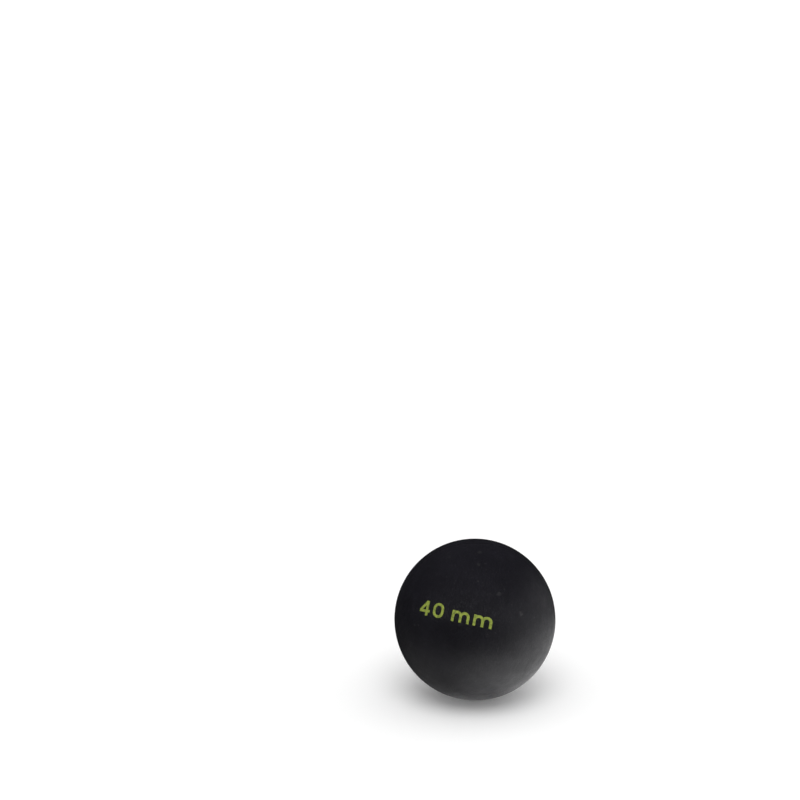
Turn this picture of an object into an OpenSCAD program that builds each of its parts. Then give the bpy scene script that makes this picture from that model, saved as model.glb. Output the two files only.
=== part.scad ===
// Squash ball: a hollow rubber ball made of two half shells bonded at a seam, with
// two ink dots on its rear and a printed size mark on its front.
// The origin is the ball's centre and +Z is up. The Y axis runs through the poles of
// the two half shells, the seam lies in the XZ plane, and -Y is the front.

/* [Ball] */
// Outer diameter of the ball
ball_d = 40; // [39.5:0.1:40.5]
// Thickness of the rubber wall
wall = 5; // [4:0.1:6]

/* [Seam] */
// Thickness of the cured adhesive between the two rims
bond_t = 0.15; // [0.1:0.05:0.3]
// Depth of the fine line that buffing leaves round the seam
seam_line_depth = 0.08; // [0.04:0.01:0.2]
// Radius of the adhesive bead squeezed out inside the ball
bead_r = 0.6; // [0.3:0.1:1.2]

/* [Ink] */
// Thickness of the printed ink
ink_t = 0.05; // [0.03:0.01:0.1]
// Diameter of each speed dot
dot_d = 4.2; // [3:0.1:5]
// Gap between the two speed dots, along the surface
dot_gap = 1.2; // [0.6:0.1:3]

/* [Size mark] */
// Height of the digits
digit_h = 3.6; // [3:0.1:4.5]
// Width of each digit
digit_w = 2.8; // [2.4:0.1:3]
// Height of the small letters
letter_h = 2.7; // [2.2:0.1:3]
// Width of each small letter
letter_w = 4.4; // [3.8:0.1:4.8]
// Width of the printed strokes
stroke_w = 0.65; // [0.4:0.05:0.75]
// Gap between neighbouring characters
letter_gap = 0.9; // [0.5:0.1:1.2]
// Gap between the digits and the letters
word_gap = 2.2; // [1.5:0.1:3]
// Degrees that the mark lies from the front towards -X
mark_azimuth = 18; // [0:1:25]
// Degrees that the mark lies above the ball's waist
mark_elevation = 24; // [0:1:35]
// Degrees that the mark slopes down to its right
mark_slope = 5; // [0:1:20]

/* [Hidden] */
$fn = 120;

rubber_colour = [0.13, 0.13, 0.15];
adhesive_colour = [0.09, 0.08, 0.08];
mark_colour = [0.6, 0.66, 0.22];
dot_colour = [0.93, 0.82, 0.1];

ball_r = ball_d / 2;
cavity_r = ball_r - wall;
rim_z = bond_t / 2;
// How far a cutting solid runs past what it cuts
overrun = ball_r / 10;

// Angle at the ball's centre from the rear pole to each dot's centre
dot_angle = (dot_d + dot_gap) / 2 / ball_r * 180 / PI;

// Where the stem and the bar of the digit 4 start, as shares of its width and height
stem_share = 0.6;
bar_share = 0.22;
mark_w = 2 * (digit_w + letter_w + letter_gap) + word_gap;

// A half shell with its rim at the seam plane and its pole on +Z. The outer edge of
// the rim is bevelled, which leaves the fine line round the finished ball.
module half_shell() {
    color(rubber_colour)
    difference() {
        sphere(r = ball_r);
        sphere(r = cavity_r);
        below_rim();
        rim_bevel();
    }
}

module below_rim() {
    side = 2 * (ball_r + overrun);
    translate([-side / 2, -side / 2, rim_z - side])
    cube(side);
}

module rim_bevel() {
    outer_r = ball_r + overrun;
    rotate_extrude()
    polygon([
        [ball_r - seam_line_depth, rim_z],
        [outer_r, rim_z],
        [outer_r, rim_z + seam_line_depth + overrun],
    ]);
}

module front_half_shell() {
    rotate([90, 0, 0])
    half_shell();
}

module rear_half_shell() {
    rotate([-90, 0, 0])
    half_shell();
}

// The cured adhesive: a flat washer between the rims, and the round bead that was
// squeezed out along the inner wall when the halves were pressed together.
module seam_adhesive() {
    color(adhesive_colour)
    rotate([90, 0, 0]) {
        adhesive_washer();
        adhesive_bead();
    }
}

module adhesive_washer() {
    translate([0, 0, -rim_z])
    difference() {
        cylinder(h = bond_t, r = ball_r - seam_line_depth);
        translate([0, 0, -overrun])
        cylinder(h = bond_t + 2 * overrun, r = cavity_r - bead_r / 2);
    }
}

module adhesive_bead() {
    intersection() {
        sphere(r = cavity_r);
        rotate_extrude()
        translate([cavity_r, 0])
        circle(r = bead_r);
    }
}

// A skin of ink on the ball's surface, cut to the outline of the children, which are
// prisms that run out from the ball's centre.
module printed() {
    intersection() {
        difference() {
            sphere(r = ball_r + ink_t);
            sphere(r = ball_r);
        }
        children();
    }
}

module speed_dot(angle) {
    color(dot_colour)
    printed()
    rotate([-90, 0, angle])
    cylinder(h = ball_r + overrun, d = dot_d);
}

// The dots as seen by someone who faces them from behind the ball.
module left_dot() {
    speed_dot(-dot_angle);
}

module right_dot() {
    speed_dot(dot_angle);
}

module size_mark() {
    color(mark_colour)
    printed()
    rotate([90 - mark_elevation, 0, -mark_azimuth])
    rotate([0, 0, -mark_slope])
    linear_extrude(height = ball_r + overrun)
    size_mark_outline();
}

// "40 mm", centred on the origin.
module size_mark_outline() {
    digit_step = digit_w + letter_gap;
    letter_step = letter_w + letter_gap;
    translate([-mark_w / 2, -digit_h / 2]) {
        digit_four();
        translate([digit_step, 0])
        digit_zero();
        translate([2 * digit_w + letter_gap + word_gap, 0])
        for (i = [0, 1])
            translate([i * letter_step, 0])
            letter_m();
    }
}

module digit_four() {
    stem_x = digit_w * stem_share;
    stem_right = stem_x + stroke_w;
    bar_y = digit_h * bar_share;
    bar_top = bar_y + stroke_w;
    // The slanted stroke's width, measured level and measured upright
    slant_rise = digit_h - bar_top;
    slant_length = norm([stem_x, slant_rise]);
    level_w = stroke_w * slant_length / slant_rise;
    upright_w = stroke_w * slant_length / stem_x;
    difference() {
        polygon([
            [stem_x, 0],
            [stem_right, 0],
            [stem_right, bar_y],
            [digit_w, bar_y],
            [digit_w, bar_top],
            [stem_right, bar_top],
            [stem_right, digit_h],
            [stem_x, digit_h],
            [0, bar_top],
            [0, bar_y],
            [stem_x, bar_y],
        ]);
        polygon([
            [level_w, bar_top],
            [stem_x, bar_top],
            [stem_x, digit_h - upright_w],
        ]);
    }
}

module digit_zero() {
    difference() {
        pill(digit_w, digit_h);
        translate([stroke_w, stroke_w])
        pill(digit_w - 2 * stroke_w, digit_h - 2 * stroke_w);
    }
}

// An upright slot shape with round ends, its lower left corner at the origin.
module pill(width, height) {
    end_r = width / 2;
    translate([0, end_r])
    square([width, height - width]);
    for (y = [end_r, height - end_r])
        translate([end_r, y])
        circle(r = end_r);
}

module letter_m() {
    leg_step = (letter_w - stroke_w) / 2;
    arch_r = (leg_step + stroke_w) / 2;
    shoulder_h = letter_h - arch_r;
    square([stroke_w, letter_h]);
    for (i = [0, 1])
        translate([i * leg_step, 0]) {
            translate([leg_step, 0])
            square([stroke_w, shoulder_h]);
            translate([arch_r, shoulder_h])
            arch(arch_r);
        }
}

// The upper half of a ring of the stroke's width.
module arch(outer_r) {
    intersection() {
        difference() {
            circle(r = outer_r);
            circle(r = outer_r - stroke_w);
        }
        translate([-outer_r, 0])
        square([2 * outer_r, outer_r]);
    }
}

front_half_shell();
rear_half_shell();
seam_adhesive();
left_dot();
right_dot();
size_mark();
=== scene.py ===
import math

import bmesh
import bpy
import numpy as np
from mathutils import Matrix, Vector, noise


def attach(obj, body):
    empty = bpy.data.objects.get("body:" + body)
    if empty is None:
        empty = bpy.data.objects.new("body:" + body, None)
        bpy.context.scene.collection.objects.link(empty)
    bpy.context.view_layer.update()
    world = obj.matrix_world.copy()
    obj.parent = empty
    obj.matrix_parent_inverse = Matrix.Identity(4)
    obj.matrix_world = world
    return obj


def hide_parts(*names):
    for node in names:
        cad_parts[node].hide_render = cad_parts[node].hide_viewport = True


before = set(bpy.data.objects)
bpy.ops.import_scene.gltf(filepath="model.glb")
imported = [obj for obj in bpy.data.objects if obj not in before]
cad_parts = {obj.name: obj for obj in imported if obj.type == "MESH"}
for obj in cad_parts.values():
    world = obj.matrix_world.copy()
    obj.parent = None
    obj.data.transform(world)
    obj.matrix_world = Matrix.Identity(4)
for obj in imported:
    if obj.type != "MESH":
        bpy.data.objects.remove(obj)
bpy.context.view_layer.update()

# Sizes of the ball. Lengths are in metres, apart from the two whose names end in _MM.
MM = 0.001
BALL_R = 20 * MM
CAVITY_R = 15 * MM
BOND_HALF = 0.075 * MM
LINE_DEPTH = 0.08 * MM
BEAD_R = 0.6 * MM
INK_T = 0.05 * MM
INK_EDGE_T = 0.035 * MM

# Unevenness that moulding, grinding and buffing leave: how much, and over what length
LINE_DEPTH_VARIATION = 0.25
LINE_DEPTH_LENGTH = 0.8 * MM
# How far apart noise is taken for two things that should differ
NOISE_APART = 40
SEAM_WAVE = 0.05 * MM
SEAM_WAVE_LENGTH = 9 * MM
PEEL = [(0.006 * MM, 1.8 * MM), (0.012 * MM, 5.5 * MM)]
INK_EDGE_WOBBLE = 0.03 * MM
INK_EDGE_WOBBLE_LENGTH = 0.25 * MM

# The adhesive film: how far its outer edge lies in the fine line and bulges there, and
# how full its bead is
FILM_DEPTH = 1.05 * LINE_DEPTH
FILM_DEPTH_VARIATION = 0.2 * LINE_DEPTH
FILM_DEPTH_LENGTH = 0.5 * MM
FILM_CROWN = 0.01 * MM
BEAD_FILL = 0.92
BEAD_FILL_VARIATION = 0.08
BEAD_FILL_LENGTH = 6 * MM

# The two shells: piece, node, and the side of the seam that it lies on
SHELLS = [
    ("front_shell", "front_half_shell", -1),
    ("rear_shell", "rear_half_shell", 1),
]

# Fineness of the meshes
GRID_STEPS = 160
LINE_STEPS = 5
BEAD_STEPS = 12
INK_CELL = 0.2 * MM
SAME_POINT = 0.002 * MM
SHARP_ANGLE = math.radians(40)

# Rubber: its colours, its gloss, and the sizes of what its surface shows
RUBBER_DARK = (0.0042, 0.0038, 0.0068)
RUBBER_PALE = (0.006, 0.0055, 0.0094)
RUBBER_IOR = 1.62
RUBBER_ROUGHNESS = 0.5
ROUGHNESS_SPREAD = 0.05
CLOUD_SIZE = 9 * MM
MOTTLE_SIZE = 0.9 * MM
GLOSS_SIZE = 2.5 * MM
COARSE_GRAIN_SIZE = 1.1 * MM
COARSE_GRAIN_HEIGHT = 0.05 * MM
FINE_GRAIN_SIZE = 0.32 * MM
FINE_GRAIN_HEIGHT = 0.065 * MM
DUST = (0.07, 0.07, 0.072)
DUST_SIZE = 0.45 * MM
SCUFF = (0.05, 0.05, 0.052)
SCUFF_PATCH_SIZE = 11 * MM
STREAK_FINENESS = (1400, 420, 900)
# Faint rubs: centre, reach and strength
MARKS = [
    ((5.2 * MM, -14.9 * MM, 12.2 * MM), 0.65 * MM, 0.28),
    ((0.4 * MM, -9.2 * MM, 17.7 * MM), 0.5 * MM, 0.22),
    ((0.8 * MM, -5.0 * MM, 19.3 * MM), 0.7 * MM, 0.2),
    ((-6.6 * MM, -5.1 * MM, 18.2 * MM), 0.5 * MM, 0.2),
]
MARK_RAGGEDNESS = 0.7 * MM

# Adhesive
ADHESIVE_DARK = (0.008, 0.0078, 0.008)
ADHESIVE_PALE = (0.02, 0.019, 0.018)
ADHESIVE_MOTTLE_SIZE = 0.6 * MM
ADHESIVE_GLOSS_SIZE = 0.3 * MM
ADHESIVE_GRAIN_SIZE = 0.12 * MM

# Inks, each where it lies thick and where it lies thin
MARK_INK_THICK = (0.24, 0.295, 0.037)
MARK_INK_THIN = (0.125, 0.16, 0.022)
DOT_INK_THICK = (0.86, 0.66, 0.03)
DOT_INK_THIN = (0.7, 0.52, 0.022)
PINHOLE = (0.02, 0.02, 0.018)
INK_COVER_SIZE = 0.8 * MM
PINHOLE_SIZE = 0.22 * MM
INK_GLOSS_SIZE = 0.4 * MM
INK_GRAIN_SIZE = 0.2 * MM
# Height of the finest grain of ink and adhesive
FILM_GRAIN_HEIGHT = 0.02 * MM

# Studio: the floor, the wall far round it, the world and the lamps. A lift is how much
# of white is added for the rays that look at a surface.
FLOOR_SIDE = 6.0
FLOOR_WHITE = 0.95
FLOOR_LIFT = 0.08
WALL_REACH = 2.6
WALL_HEIGHT = 0.5
WALL_LIFT = 1.0
WORLD_LEVEL = 0.06
OVERHEAD = dict(azimuth=0, elevation=60, spread=40, level=0.3)
DOME = dict(azimuth=30, elevation=55, spread=170, level=0.85)

# Cards that only reflections show: glowing sheets that no camera sees and that cast no light
# or shadow, put there to paint reflections into the rubber. The darker ones paint dark
# reflections, and under_card, brighter than white, paints a bright reflection on the lower rim.
# A card stands on the floor or lies just over it, between two azimuths. near and far are its
# two edges' reach from the middle of the ball, and low and high are their heights over the
# floor. It fades in over FADE_AT_START degrees and out over fade degrees, and one that lies
# fades over the outer FADE_OUTWARDS of its width. LAID is the height of the lowest that lies.
# level is how bright a card looks, where 1 is white.
ARC_STEP = 5
CARD_ROWS = 8
FADE_AT_START = 30
FADE_OUTWARDS = 0.5
LAID = 0.15 * MM
CARDS = {
    "back_card": dict(
        start=100, end=320, near=0.065, far=0.065, low=0.0, high=0.06, fade=30, level=0.03),
    "front_card": dict(
        start=-85, end=70, near=0.044, far=0.044, low=0.0, high=0.03, fade=50, level=0.03),
    "left_card": dict(
        start=170, end=380, near=0.002, far=0.12, low=LAID, high=LAID, fade=60, level=0.25),
    "right_card": dict(
        start=30, end=135, near=0.09, far=0.09, low=0.0, high=0.06, fade=30, level=0.35),
    "under_card": dict(
        start=20, end=190, near=0.004, far=0.04, low=2 * LAID, high=2 * LAID, fade=50, level=1.25),
    "corner_card": dict(
        start=190, end=300, near=0.01, far=0.12, low=3 * LAID, high=3 * LAID, fade=60, level=0.03),
    "gap_card": dict(
        start=-60, end=200, near=0.005, far=0.015, low=3 * LAID, high=3 * LAID, fade=60, level=0.5),
}

# The photograph's camera
CAMERA_AT = (-0.0186, -0.4872, 0.1891)
CAMERA_TILT = math.radians(74.77)
LENS_MM = 94.1
SENSOR_MM = 36
NEAREST_SEEN = 0.01


def new_piece(name, mesh, material):
    """A piece of the ball that wears one material."""
    piece = bpy.data.objects.new(name, mesh)
    bpy.context.scene.collection.objects.link(piece)
    mesh.materials.clear()
    mesh.materials.append(material)
    return piece


def mesh_from(name, points, faces):
    """A smooth-shaded closed mesh with its faces turned outwards."""
    mesh = bpy.data.meshes.new(name)
    mesh.from_pydata([tuple(p) for p in points], [], [tuple(f) for f in faces])
    close = bmesh.new()
    close.from_mesh(mesh)
    bmesh.ops.recalc_face_normals(close, faces=close.faces)
    close.to_mesh(mesh)
    close.free()
    mesh.shade_smooth()
    mesh.set_sharp_from_angle(angle=SHARP_ANGLE)
    return mesh


def square_to_disc(steps):
    """A square grid drawn out to a disc: each point's share of the radius, and its turn."""
    line = np.linspace(-1, 1, steps + 1)
    across, along = np.meshgrid(line, line, indexing="ij")
    wide = np.abs(across) >= np.abs(along)
    reach = np.where(wide, across, along)
    other = np.where(wide, along, across)
    ratio = np.divide(other, reach, out=np.zeros_like(reach), where=reach != 0)
    eighth = math.pi / 4
    turn = np.where(wide, ratio * eighth, 2 * eighth - ratio * eighth)
    turn = np.where(reach < 0, turn + math.pi, turn)
    return np.abs(reach), turn


def grid_rim(steps):
    """The indices of a square grid's outer points, in order round it."""
    side = steps + 1
    first = [i * side for i in range(steps)]
    second = [steps * side + j for j in range(steps)]
    third = [i * side + steps for i in range(steps, 0, -1)]
    fourth = list(range(steps, 0, -1))
    return first + second + third + fourth


def grid_faces(steps, start):
    """Quads of a square grid whose points begin at the index start."""
    side = steps + 1
    faces = []
    for i in range(steps):
        for j in range(steps):
            a = start + i * side + j
            faces.append((a, a + 1, a + 1 + side, a + side))
    return faces


def strip_faces(lower, upper):
    """Quads between two closed loops of the same number of points."""
    count = len(lower)
    return [
        (lower[k], lower[(k + 1) % count], upper[(k + 1) % count], upper[k])
        for k in range(count)
    ]


def around(turn, reach):
    """A point of the XZ plane at that turn about the Y axis."""
    return Vector((reach * math.cos(turn), 0, reach * math.sin(turn)))


def seam_wave(turn):
    """How far the seam strays from its plane."""
    return SEAM_WAVE * noise.noise(around(turn, BALL_R / SEAM_WAVE_LENGTH))


def line_depth(turn, side):
    """Depth of the fine line on one side of the seam."""
    spot = around(turn, BALL_R / LINE_DEPTH_LENGTH) + Vector((0, NOISE_APART * side, 0))
    return LINE_DEPTH * (1 + LINE_DEPTH_VARIATION * noise.noise(spot))


def peel(point):
    """How far the moulded surface rises or falls at a point."""
    return sum(height * noise.noise(point / length) for height, length in PEEL)


def outer_point(direction):
    """The point of the moulded surface in that direction from the centre."""
    point = BALL_R * direction
    return point + direction * peel(point)


def stray(point):
    """Noise along each axis. noise_vector isn't used, because its values change each run."""
    return Vector([noise.noise(point + Vector((0, NOISE_APART * k, 0))) for k in range(3)])


def half_shell(name, side, material):
    """A hollow half ball. side is -1 for the front half and 1 for the rear one."""
    share, turn = (values.ravel() for values in square_to_disc(GRID_STEPS))
    rim = grid_rim(GRID_STEPS)
    turns = [float(turn[i]) for i in rim]

    points = []
    for s, t in zip(share, turn):
        edge = side * seam_wave(t) + BOND_HALF + line_depth(t, side)
        tilt = s * math.acos(edge / BALL_R)
        direction = around(t, math.sin(tilt)) + Vector((0, side * math.cos(tilt), 0))
        points.append(outer_point(direction))
    faces = grid_faces(GRID_STEPS, 0)

    # The rounded edge that makes one side of the fine line
    loop = rim
    for step in range(1, LINE_STEPS + 1):
        bend = math.pi / 2 * step / LINE_STEPS
        start = len(points)
        for t in turns:
            depth = line_depth(t, side)
            reach = BALL_R + peel(around(t, BALL_R)) - depth * (1 - math.cos(bend))
            level = seam_wave(t) + side * (BOND_HALF + depth * (1 - math.sin(bend)))
            points.append(around(t, reach) + Vector((0, level, 0)))
        upper = list(range(start, len(points)))
        faces += strip_faces(loop, upper)
        loop = upper

    # The wall of the cavity, from the rim to the pole
    start = len(points)
    for s, t in zip(share, turn):
        edge = side * seam_wave(t) + BOND_HALF
        tilt = s * math.acos(edge / CAVITY_R)
        direction = around(t, math.sin(tilt)) + Vector((0, side * math.cos(tilt), 0))
        points.append(CAVITY_R * direction)
    faces += strip_faces(loop, [start + i for i in rim])
    faces += grid_faces(GRID_STEPS, start)

    piece = new_piece(name, mesh_from(name, points, faces), material)
    return piece


def seam_adhesive(material):
    """The film between the rims, with its outer edge in the fine line and its bead inside."""
    count = 4 * GRID_STEPS
    turns = [2 * math.pi * k / count for k in range(count)]
    bead_start = math.asin(BOND_HALF / BEAD_R)

    def profile(turn):
        edge_noise = noise.noise(around(turn, BALL_R / FILM_DEPTH_LENGTH))
        outer_r = BALL_R - FILM_DEPTH - FILM_DEPTH_VARIATION * edge_noise
        bead_noise = noise.noise(around(turn, BALL_R / BEAD_FILL_LENGTH))
        bead_r = BEAD_R * (BEAD_FILL + BEAD_FILL_VARIATION * bead_noise)
        corners = [(outer_r, -BOND_HALF), (outer_r + FILM_CROWN, 0), (outer_r, BOND_HALF)]
        for step in range(BEAD_STEPS + 1):
            bend = bead_start + (math.pi - 2 * bead_start) * step / BEAD_STEPS
            reach = CAVITY_R - bead_r * math.sin(bend)
            corners.append((reach, bead_r * math.cos(bend)))
        return corners

    points = []
    loops = []
    for t in turns:
        start = len(points)
        for reach, level in profile(t):
            points.append(around(t, reach) + Vector((0, level + seam_wave(t), 0)))
        loops.append(list(range(start, len(points))))
    faces = []
    for k in range(count):
        faces += strip_faces(loops[k], loops[(k + 1) % count])
    piece = new_piece("adhesive_film", mesh_from("adhesive_film", points, faces), material)
    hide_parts("seam_adhesive")
    return piece


def divide(film):
    """Cuts a film that lies on the ball into small cells, along two sets of planes."""
    middle = sum((v.co for v in film.verts), Vector()).normalized()
    across = middle.cross(Vector((0, 0, 1))).normalized()
    for direction in (across, across.cross(middle)):
        reaches = [v.co.dot(direction) for v in film.verts]
        cuts = int((max(reaches) - min(reaches)) / INK_CELL)
        for k in range(1, cuts + 1):
            geometry = film.verts[:] + film.edges[:] + film.faces[:]
            spot = direction * (min(reaches) + k * INK_CELL)
            bmesh.ops.bisect_plane(film, geom=geometry, plane_co=spot, plane_no=direction)


def ink_film(node, name, material):
    """Ink printed where a node's film lies: finely divided, and with slightly uneven edges."""
    film = bmesh.new()
    film.from_mesh(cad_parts[node].data)
    bmesh.ops.remove_doubles(film, verts=film.verts, dist=SAME_POINT)
    under = [v for v in film.verts if v.co.length < BALL_R + INK_T / 2]
    bmesh.ops.delete(film, geom=under, context="VERTS")
    divide(film)
    edge_points = [v for v in film.verts if v.is_boundary]
    for v in film.verts:
        v.co = v.co.normalized() * (BALL_R + INK_T + peel(v.co))
    for v in edge_points:
        v.co += INK_EDGE_WOBBLE * stray(v.co / INK_EDGE_WOBBLE_LENGTH)
        v.co = v.co.normalized() * (BALL_R + INK_EDGE_T + peel(v.co))
    film.normal_update()
    edges = [e for e in film.edges if e.is_boundary]
    skirt = bmesh.ops.extrude_edge_only(film, edges=edges)["geom"]
    for v in skirt:
        if isinstance(v, bmesh.types.BMVert):
            v.co = v.co.normalized() * (BALL_R - INK_T + peel(v.co))
    mesh = bpy.data.meshes.new(name)
    film.to_mesh(mesh)
    film.free()
    mesh.shade_smooth()
    mesh.set_sharp_from_angle(angle=SHARP_ANGLE)
    piece = new_piece(name, mesh, material)
    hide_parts(node)
    return piece


class Nodes:
    """A material's node tree, with short calls to add nodes and join them."""

    def __init__(self, name):
        self.material = bpy.data.materials.new(name)
        self.material.use_nodes = True
        self.tree = self.material.node_tree
        self.shader = self.tree.nodes["Principled BSDF"]
        self.place = self.add("ShaderNodeTexCoord").outputs["Object"]

    def add(self, kind, **settings):
        node = self.tree.nodes.new(kind)
        for name, value in settings.items():
            setattr(node, name, value)
        return node

    def join(self, source, target):
        """Links a socket to another, or sets a plain value on it."""
        if isinstance(source, bpy.types.NodeSocket):
            self.tree.links.new(source, target)
        else:
            target.default_value = source

    def noise(self, length, detail=2.0, roughness=0.5, place=None):
        """Noise whose features are about that long."""
        node = self.add("ShaderNodeTexNoise")
        self.join(place or self.place, node.inputs["Vector"])
        node.inputs["Scale"].default_value = 1 / length
        node.inputs["Detail"].default_value = detail
        node.inputs["Roughness"].default_value = roughness
        return node.outputs["Fac"]

    def ramp(self, value, low, high, to_low=0.0, to_high=1.0):
        """value brought from between low and high to between to_low and to_high."""
        node = self.add("ShaderNodeMapRange")
        node.interpolation_type = "SMOOTHSTEP"
        self.join(value, node.inputs["Value"])
        node.inputs["From Min"].default_value = low
        node.inputs["From Max"].default_value = high
        node.inputs["To Min"].default_value = to_low
        node.inputs["To Max"].default_value = to_high
        return node.outputs["Result"]

    def math(self, operation, first, second=None):
        node = self.add("ShaderNodeMath", operation=operation)
        self.join(first, node.inputs[0])
        if second is not None:
            self.join(second, node.inputs[1])
        return node.outputs[0]

    def mix(self, share, first, second):
        node = self.add("ShaderNodeMix", data_type="RGBA")
        self.join(share, node.inputs["Factor"])
        self.join(first, node.inputs["A"])
        self.join(second, node.inputs["B"])
        return node.outputs["Result"]

    def stretched(self, scale):
        node = self.add("ShaderNodeMapping")
        self.join(self.place, node.inputs["Vector"])
        node.inputs["Scale"].default_value = scale
        return node.outputs["Vector"]

    def bump(self, height, distance, under=None):
        """A bump as deep as distance where height is 1, on top of another if under is given."""
        node = self.add("ShaderNodeBump")
        self.join(height, node.inputs["Height"])
        node.inputs["Distance"].default_value = distance
        if under is not None:
            self.join(under, node.inputs["Normal"])
        return node.outputs["Normal"]

    def finish(self, colour, roughness, normal):
        self.join(colour, self.shader.inputs["Base Color"])
        self.join(roughness, self.shader.inputs["Roughness"])
        self.join(normal, self.shader.inputs["Normal"])
        return self.material


def opaque(colour):
    """A colour with full alpha."""
    return (*colour, 1.0)


def rubber_material():
    """Matte black moulded rubber: fine grain, cloudy shade, a little dust and a few scuffs."""
    n = Nodes("rubber")
    clouds = n.ramp(n.noise(CLOUD_SIZE, detail=4, roughness=0.55), low=0.35, high=0.65)
    mottle = n.noise(MOTTLE_SIZE, detail=4, roughness=0.6)
    mottle = n.ramp(mottle, low=0.35, high=0.65, to_low=-0.25, to_high=0.25)
    colour = n.mix(n.math("ADD", clouds, mottle), opaque(RUBBER_DARK), opaque(RUBBER_PALE))

    dust = n.ramp(n.noise(DUST_SIZE, detail=1.5), low=0.71, high=0.8, to_high=0.6)
    colour = n.mix(dust, colour, opaque(DUST))
    streaks = n.noise(1.0, detail=3, place=n.stretched(STREAK_FINENESS))
    streaks = n.ramp(streaks, low=0.64, high=0.74, to_high=0.45)
    patches = n.ramp(n.noise(SCUFF_PATCH_SIZE, detail=1), low=0.56, high=0.66)
    scuffs = n.math("MAXIMUM", n.math("MULTIPLY", streaks, patches), few_marks(n))
    colour = n.mix(scuffs, colour, opaque(SCUFF))

    smoothest = RUBBER_ROUGHNESS - ROUGHNESS_SPREAD
    roughest = RUBBER_ROUGHNESS + ROUGHNESS_SPREAD
    gloss = n.noise(GLOSS_SIZE, detail=4, roughness=0.6)
    roughness = n.ramp(gloss, low=0.3, high=0.7, to_low=smoothest, to_high=roughest)
    coarse = n.noise(COARSE_GRAIN_SIZE, detail=3, roughness=0.55)
    fine = n.noise(FINE_GRAIN_SIZE, detail=3, roughness=0.65)
    normal = n.bump(fine, FINE_GRAIN_HEIGHT, under=n.bump(coarse, COARSE_GRAIN_HEIGHT))
    n.shader.inputs["IOR"].default_value = RUBBER_IOR
    return n.finish(colour, roughness, normal)


def few_marks(n):
    """Faint rubs at chosen places, ragged at their edges."""
    ragged = n.noise(MARK_RAGGEDNESS, detail=3, roughness=0.6)
    total = 0.0
    for centre, reach, strength in MARKS:
        apart = n.add("ShaderNodeVectorMath", operation="DISTANCE")
        n.join(n.place, apart.inputs[0])
        apart.inputs[1].default_value = centre
        edge = n.math("MULTIPLY", ragged, 2 * reach)
        share = n.math("DIVIDE", apart.outputs["Value"], edge)
        mark = n.ramp(share, low=0.5, high=1.1, to_low=strength, to_high=0)
        total = n.math("MAXIMUM", mark, total)
    return total


def adhesive_material():
    """Cured rubber solution: dull black, with a fine grain."""
    n = Nodes("adhesive")
    mottle = n.noise(ADHESIVE_MOTTLE_SIZE, detail=3)
    colour = n.mix(mottle, opaque(ADHESIVE_DARK), opaque(ADHESIVE_PALE))
    gloss = n.noise(ADHESIVE_GLOSS_SIZE)
    roughness = n.ramp(gloss, low=0.3, high=0.7, to_low=0.45, to_high=0.7)
    normal = n.bump(n.noise(ADHESIVE_GRAIN_SIZE), FILM_GRAIN_HEIGHT)
    return n.finish(colour, roughness, normal)


def ink_material(name, thick, thin):
    """Pad-printed ink: thin patches and pinholes let a little of the black through."""
    n = Nodes(name)
    cover = n.ramp(n.noise(INK_COVER_SIZE, detail=4, roughness=0.6), low=0.3, high=0.6)
    colour = n.mix(cover, opaque(thin), opaque(thick))
    pinholes = n.ramp(n.noise(PINHOLE_SIZE, detail=1), low=0.75, high=0.8)
    colour = n.mix(pinholes, colour, opaque(PINHOLE))
    gloss = n.noise(INK_GLOSS_SIZE, detail=3)
    roughness = n.ramp(gloss, low=0.3, high=0.7, to_low=0.42, to_high=0.58)
    normal = n.bump(n.noise(INK_GRAIN_SIZE, detail=3, roughness=0.6), FILM_GRAIN_HEIGHT)
    return n.finish(colour, roughness, normal)


def add_camera():
    """The photograph's camera. It faces +Y, and its tilt counts from straight down."""
    data = bpy.data.cameras.new("camera")
    data.lens = LENS_MM
    data.sensor_width = SENSOR_MM
    data.clip_start = NEAREST_SEEN
    camera = bpy.data.objects.new("camera", data)
    camera.location = CAMERA_AT
    camera.rotation_euler = (CAMERA_TILT, 0, 0)
    bpy.context.scene.collection.objects.link(camera)
    bpy.context.scene.camera = camera


def direction_to(azimuth, elevation):
    """Azimuth 0 is the camera's side, and 90 the right."""
    turn = math.radians(azimuth)
    rise = math.radians(elevation)
    level = math.cos(rise)
    return Vector((math.sin(turn) * level, -math.cos(turn) * level, math.sin(rise)))


def add_soft_light(name, azimuth, elevation, spread, level):
    """A far, wide lamp. level is how bright it makes a white card that faces it."""
    data = bpy.data.lights.new(name, "SUN")
    data.angle = math.radians(spread)
    data.energy = level * math.pi
    lamp = bpy.data.objects.new(name, data)
    lamp.rotation_euler = direction_to(azimuth, elevation).to_track_quat("Z", "Y").to_euler()
    lamp.visible_glossy = False
    bpy.context.scene.collection.objects.link(lamp)


def stage_piece(name, points, faces, material):
    """A piece of the studio, which is no part of the ball."""
    mesh = bpy.data.meshes.new(name)
    mesh.from_pydata(points, [], faces)
    mesh.materials.append(material)
    piece = bpy.data.objects.new(name, mesh)
    bpy.context.scene.collection.objects.link(piece)
    return piece


def arc(start, end, near, far, low, high, rows):
    """A strip round the ball between two azimuths: its columns of points, and its faces."""
    columns = max(1, round((end - start) / ARC_STEP))
    points = []
    for k in range(columns + 1):
        direction = direction_to(start + (end - start) * k / columns, 0)
        for row in range(rows + 1):
            share = row / rows
            height = low + (high - low) * share - BALL_R
            points.append(direction * (near + (far - near) * share) + Vector((0, 0, height)))
    side = rows + 1
    faces = [
        (k * side + row, k * side + row + 1, (k + 1) * side + row + 1, (k + 1) * side + row)
        for k in range(columns)
        for row in range(rows)
    ]
    return points, faces


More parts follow.
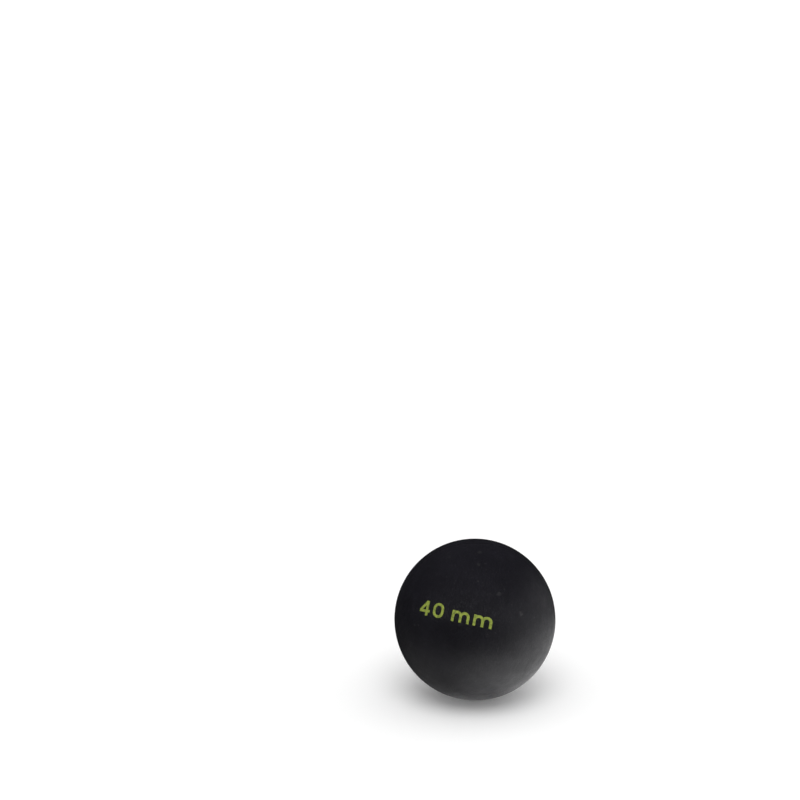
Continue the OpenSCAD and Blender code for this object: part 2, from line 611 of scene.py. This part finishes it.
def studio_material(name, reflectance, lift):
    """A plain matte colour, lifted towards white for the rays that see it."""
    material = bpy.data.materials.new(name)
    material.use_nodes = True
    tree = material.node_tree
    tree.nodes.clear()
    diffuse = tree.nodes.new("ShaderNodeBsdfDiffuse")
    diffuse.inputs["Color"].default_value = opaque((reflectance,) * 3)
    glow = tree.nodes.new("ShaderNodeEmission")
    strength = tree.nodes.new("ShaderNodeMath")
    strength.operation = "MULTIPLY"
    strength.inputs[1].default_value = lift
    both = tree.nodes.new("ShaderNodeAddShader")
    out = tree.nodes.new("ShaderNodeOutputMaterial")
    tree.links.new(seen_by_camera_or_gloss(tree), strength.inputs[0])
    tree.links.new(strength.outputs[0], glow.inputs["Strength"])
    tree.links.new(diffuse.outputs[0], both.inputs[0])
    tree.links.new(glow.outputs[0], both.inputs[1])
    tree.links.new(both.outputs[0], out.inputs["Surface"])
    return material


def seen_by_camera_or_gloss(tree):
    """1 for camera, glossy and transmission rays, and 0 for the rays that light things."""
    path = tree.nodes.new("ShaderNodeLightPath")
    total = path.outputs["Is Camera Ray"]
    for name in ("Is Glossy Ray", "Is Transmission Ray"):
        larger = tree.nodes.new("ShaderNodeMath")
        larger.operation = "MAXIMUM"
        tree.links.new(total, larger.inputs[0])
        tree.links.new(path.outputs[name], larger.inputs[1])
        total = larger.outputs[0]
    return total


def add_floor():
    """A white floor, with a low white wall far round it."""
    side = FLOOR_SIDE / 2
    corners = [(-side, -side), (side, -side), (side, side), (-side, side)]
    points = [(x, y, -BALL_R) for x, y in corners]
    floor_white = studio_material("floor_white", FLOOR_WHITE, FLOOR_LIFT)
    stage_piece("floor", points, [(0, 1, 2, 3)], floor_white)
    points, faces = arc(
        start=0, end=360, near=WALL_REACH, far=WALL_REACH, low=0, high=WALL_HEIGHT, rows=1)
    stage_piece("wall", points, faces, studio_material("wall_white", FLOOR_WHITE, WALL_LIFT))


def smooth(value):
    """0 up to 0 and 1 from 1 on, with a soft change between them."""
    value = min(max(value, 0), 1)
    return value * value * (3 - 2 * value)


def add_card(name, start, end, near, far, low, high, fade, level):
    """A card that paints a reflection into the rubber. It fades out at its two ends and, where it
    lies on the floor, outwards.
    """
    points, faces = arc(start, end, near, far, low, high, CARD_ROWS)
    card = stage_piece(name, points, faces, painted_reflection_material(name, level))
    cover = card.data.attributes.new("cover", "FLOAT", "POINT")
    side = CARD_ROWS + 1
    columns = len(points) // side - 1
    for index in range(len(points)):
        turn = (end - start) * (index // side) / columns
        share = index % side / CARD_ROWS
        ends = smooth(turn / FADE_AT_START) * smooth((end - start - turn) / fade)
        far_edge = smooth((1 - share) / FADE_OUTWARDS) if far > near else 1
        cover.data[index].value = ends * far_edge
    card.visible_camera = False
    card.visible_diffuse = False
    card.visible_shadow = False


def painted_reflection_material(name, level):
    """An even glow that paints a reflection, and lets rays through where the mesh's cover is low.
    """
    material = bpy.data.materials.new(name)
    material.use_nodes = True
    tree = material.node_tree
    tree.nodes.clear()
    glow = tree.nodes.new("ShaderNodeEmission")
    glow.inputs["Strength"].default_value = level
    clear = tree.nodes.new("ShaderNodeBsdfTransparent")
    cover = tree.nodes.new("ShaderNodeAttribute")
    cover.attribute_name = "cover"
    both = tree.nodes.new("ShaderNodeMixShader")
    out = tree.nodes.new("ShaderNodeOutputMaterial")
    tree.links.new(cover.outputs["Fac"], both.inputs[0])
    tree.links.new(clear.outputs[0], both.inputs[1])
    tree.links.new(glow.outputs[0], both.inputs[2])
    tree.links.new(both.outputs[0], out.inputs["Surface"])
    return material


def set_world():
    """A faint, even white all round."""
    world = bpy.data.worlds.new("studio")
    bpy.context.scene.world = world
    world.use_nodes = True
    background = world.node_tree.nodes["Background"]
    background.inputs["Color"].default_value = (1, 1, 1, 1)
    background.inputs["Strength"].default_value = WORLD_LEVEL


rubber = rubber_material()
for name, node, side in SHELLS:
    shell = half_shell(name, side, rubber)
    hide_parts(node)
    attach(shell, "root")
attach(seam_adhesive(adhesive_material()), "root")
mark_ink = ink_material("mark_ink", MARK_INK_THICK, MARK_INK_THIN)
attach(ink_film("size_mark", "printed_size", mark_ink), "root")
dot_ink = ink_material("dot_ink", DOT_INK_THICK, DOT_INK_THIN)
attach(ink_film("left_dot", "left_speed_dot", dot_ink), "root")
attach(ink_film("right_dot", "right_speed_dot", dot_ink), "root")

add_floor()
set_world()
# Glowing cards that paint dark and bright reflections into the rubber; no camera sees them
for name, card in CARDS.items():
    add_card(name, **card)
add_soft_light("overhead", **OVERHEAD)
add_soft_light("dome", **DOME)
add_camera()
bpy.context.scene.view_settings.view_transform = "Standard"
